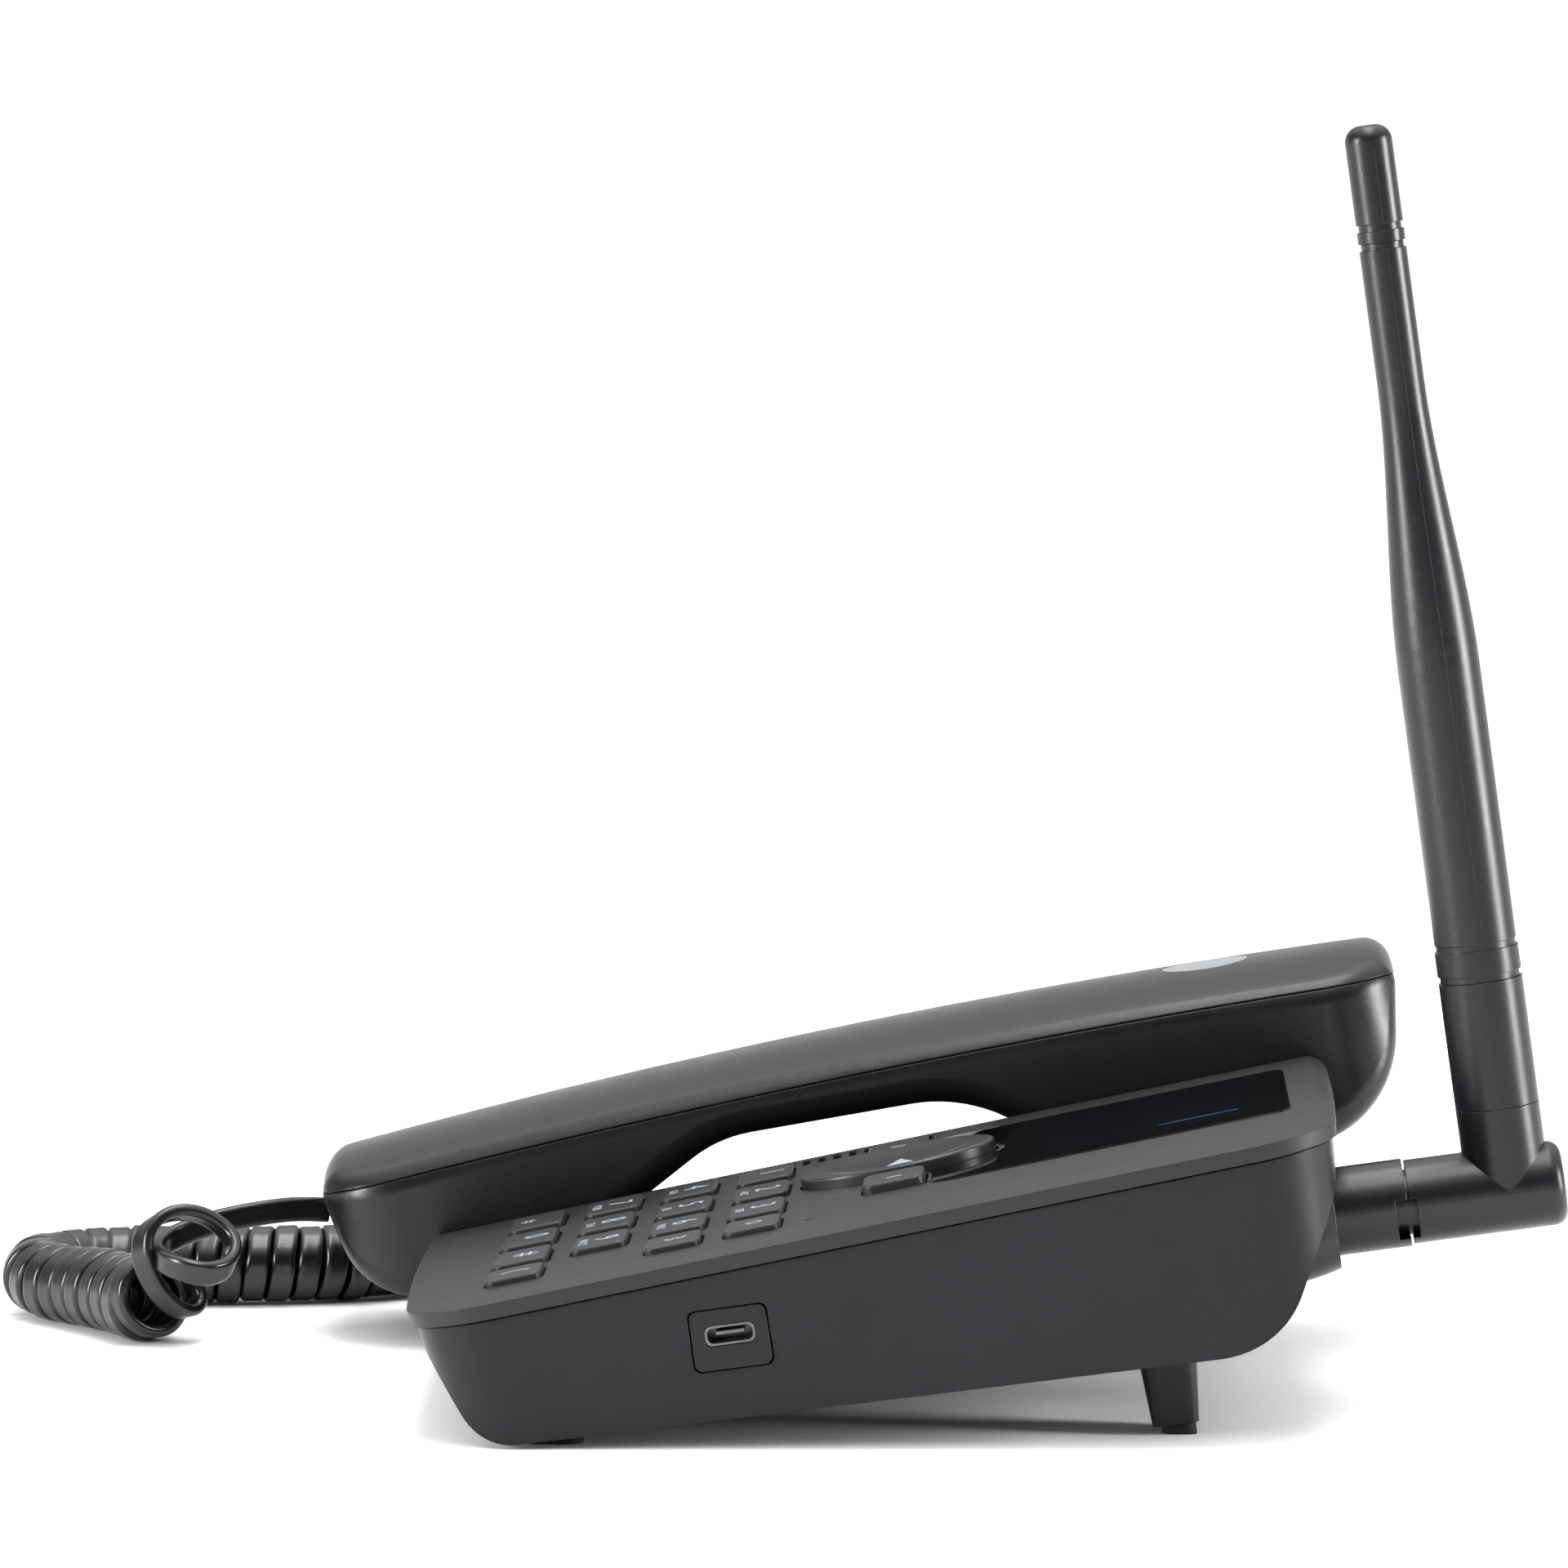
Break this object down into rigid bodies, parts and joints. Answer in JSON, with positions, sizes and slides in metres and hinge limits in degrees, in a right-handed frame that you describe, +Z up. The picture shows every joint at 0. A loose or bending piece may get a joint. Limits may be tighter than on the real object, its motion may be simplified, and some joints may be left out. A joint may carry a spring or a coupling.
{
  "type": "corded desk phone with antenna",
  "caption": "Desk phone: keypad base with display, corded handset lying in a side cradle, curly cord and a swivelling rod antenna at the rear.",
  "frame": {"origin": "on the desk under the centre of the phone's box, cord left out", "axes": "+X to the phone's right, +Y to its rear where the antenna is, +Z up"},
  "size_m": [0.1765, 0.2621, 0.2044],
  "materials": {
    "housing_plastic": "satin moulded",
    "cover_plastic": "fine matt grain",
    "mount_plastic": "satin moulded",
    "handset_plastic": "satin moulded",
    "antenna_plastic": "fine grain",
    "key_plastic": "satin",
    "lens_gloss": "polished",
    "badge_grey": "satin silver",
    "rubber": "matt",
    "cord_black": "smooth",
    "plug_plastic": "smooth",
    "socket_plastic": "matt",
    "steel": "bright",
    "board_green": "solder mask",
    "battery_sleeve": "shrink sleeve",
    "lcd_glass": "glass",
    "speaker_black": "matt",
    "brass": "bright"
  },
  "bodies": {
    "base": {"lower_housing": "housing_plastic", "top_cover": "cover_plastic", "antenna_mount": "mount_plastic", "antenna_drum": "mount_plastic", "antenna_coax": "brass", "display_lens": "lens_gloss", "lcd_module": "lcd_glass", "keypad_mat": "rubber", "main_board": "board_green", "loudspeaker": "speaker_black", "base_microphone": "speaker_black", "battery_pack": "battery_sleeve", "sim_holder": "socket_plastic", "usb_bezel": "socket_plastic", "usb_port": "steel", "base_jack": "socket_plastic", "base_plug": "plug_plastic", "front_pads": "rubber", "rear_legs": "housing_plastic", "rear_pads": "rubber", "housing_screws": "steel", "hook_switch": "socket_plastic", "cord_coil": "cord_black", "cord_lead_base": "cord_black", "cord_lead_handset": "cord_black"},
    "handset": {"handset_top_shell": "handset_plastic", "handset_bottom_shell": "handset_plastic", "handset_badge": "badge_grey", "earpiece_receiver": "speaker_black", "handset_microphone": "speaker_black", "handset_weight": "steel", "handset_screws": "steel", "handset_jack": "socket_plastic", "handset_plug": "plug_plastic"},
    "antenna": {"antenna_elbow": "antenna_plastic", "antenna_sleeve": "antenna_plastic", "antenna_whip": "antenna_plastic", "antenna_tip": "antenna_plastic", "antenna_radiator": "brass"},
    "hook": {"hook_plunger": "socket_plastic"},
    "hatch": {"battery_cover": "housing_plastic"},
    "nav": {"nav_key": "key_plastic"},
    "soft_left": {"soft_key_left": "key_plastic"},
    "soft_right": {"soft_key_right": "key_plastic"},
    "key_body_star": {"key_star": "key_plastic"},
    "key_body_0": {"key_0": "key_plastic"},
    "key_body_hash": {"key_hash": "key_plastic"},
    "key_body_7": {"key_7": "key_plastic"},
    "key_body_8": {"key_8": "key_plastic"},
    "key_body_9": {"key_9": "key_plastic"},
    "key_body_4": {"key_4": "key_plastic"},
    "key_body_5": {"key_5": "key_plastic"},
    "key_body_6": {"key_6": "key_plastic"},
    "key_body_1": {"key_1": "key_plastic"},
    "key_body_2": {"key_2": "key_plastic"},
    "key_body_3": {"key_3": "key_plastic"},
    "key_body_call": {"key_call": "key_plastic"},
    "key_body_redial": {"key_redial": "key_plastic"},
    "key_body_menu": {"key_menu": "key_plastic"}
  },
  "joints": [
    {"name": "handset_lift", "type": "slide", "parent": "base", "child": "handset", "axis": [0, -0.2079, 0.9781], "range_m": [0, 0.08]},
    {"name": "antenna_swivel", "type": "hinge", "parent": "base", "child": "antenna", "pos_m": [0.025, 0.092, 0.0353], "axis": [0, 0.9903, 0.1392], "range_deg": [-90, 90]},
    {"name": "hook_rise", "type": "slide", "parent": "base", "child": "hook", "axis": [0, -0.2079, 0.9781], "range_m": [0, 0.0024]},
    {"name": "hatch_slide", "type": "slide", "parent": "base", "child": "hatch", "axis": [0, 0.9918, 0.1279], "range_m": [0, 0.01]},
    {"name": "key_star_press", "type": "slide", "parent": "base", "child": "key_body_star", "axis": [0, 0.2079, -0.9781], "range_m": [0, 0.0008], "stiffness_N_per_m": 1200},
    {"name": "key_0_press", "type": "slide", "parent": "base", "child": "key_body_0", "axis": [0, 0.2079, -0.9781], "range_m": [0, 0.0008], "stiffness_N_per_m": 1200},
    {"name": "key_hash_press", "type": "slide", "parent": "base", "child": "key_body_hash", "axis": [0, 0.2079, -0.9781], "range_m": [0, 0.0008], "stiffness_N_per_m": 1200},
    {"name": "key_7_press", "type": "slide", "parent": "base", "child": "key_body_7", "axis": [0, 0.2079, -0.9781], "range_m": [0, 0.0008], "stiffness_N_per_m": 1200},
    {"name": "key_8_press", "type": "slide", "parent": "base", "child": "key_body_8", "axis": [0, 0.2079, -0.9781], "range_m": [0, 0.0008], "stiffness_N_per_m": 1200},
    {"name": "key_9_press", "type": "slide", "parent": "base", "child": "key_body_9", "axis": [0, 0.2079, -0.9781], "range_m": [0, 0.0008], "stiffness_N_per_m": 1200},
    {"name": "key_4_press", "type": "slide", "parent": "base", "child": "key_body_4", "axis": [0, 0.2079, -0.9781], "range_m": [0, 0.0008], "stiffness_N_per_m": 1200},
    {"name": "key_5_press", "type": "slide", "parent": "base", "child": "key_body_5", "axis": [0, 0.2079, -0.9781], "range_m": [0, 0.0008], "stiffness_N_per_m": 1200},
    {"name": "key_6_press", "type": "slide", "parent": "base", "child": "key_body_6", "axis": [0, 0.2079, -0.9781], "range_m": [0, 0.0008], "stiffness_N_per_m": 1200},
    {"name": "key_1_press", "type": "slide", "parent": "base", "child": "key_body_1", "axis": [0, 0.2079, -0.9781], "range_m": [0, 0.0008], "stiffness_N_per_m": 1200},
    {"name": "key_2_press", "type": "slide", "parent": "base", "child": "key_body_2", "axis": [0, 0.2079, -0.9781], "range_m": [0, 0.0008], "stiffness_N_per_m": 1200},
    {"name": "key_3_press", "type": "slide", "parent": "base", "child": "key_body_3", "axis": [0, 0.2079, -0.9781], "range_m": [0, 0.0008], "stiffness_N_per_m": 1200},
    {"name": "key_call_press", "type": "slide", "parent": "base", "child": "key_body_call", "axis": [0, 0.2079, -0.9781], "range_m": [0, 0.0008], "stiffness_N_per_m": 1200},
    {"name": "key_redial_press", "type": "slide", "parent": "base", "child": "key_body_redial", "axis": [0, 0.2079, -0.9781], "range_m": [0, 0.0008], "stiffness_N_per_m": 1200},
    {"name": "key_menu_press", "type": "slide", "parent": "base", "child": "key_body_menu", "axis": [0, 0.2079, -0.9781], "range_m": [0, 0.0008], "stiffness_N_per_m": 1200},
    {"name": "nav_press", "type": "slide", "parent": "base", "child": "nav", "axis": [0, 0.2079, -0.9781], "range_m": [0, 0.0008], "stiffness_N_per_m": 1200},
    {"name": "soft_left_press", "type": "slide", "parent": "base", "child": "soft_left", "axis": [0, 0.2079, -0.9781], "range_m": [0, 0.0008], "stiffness_N_per_m": 1200},
    {"name": "soft_right_press", "type": "slide", "parent": "base", "child": "soft_right", "axis": [0, 0.2079, -0.9781], "range_m": [0, 0.0008], "stiffness_N_per_m": 1200}
  ],
  "couplings": [
    {"joint": "hook_rise", "follows": "handset_lift", "ratio": 0.03}
  ]
}
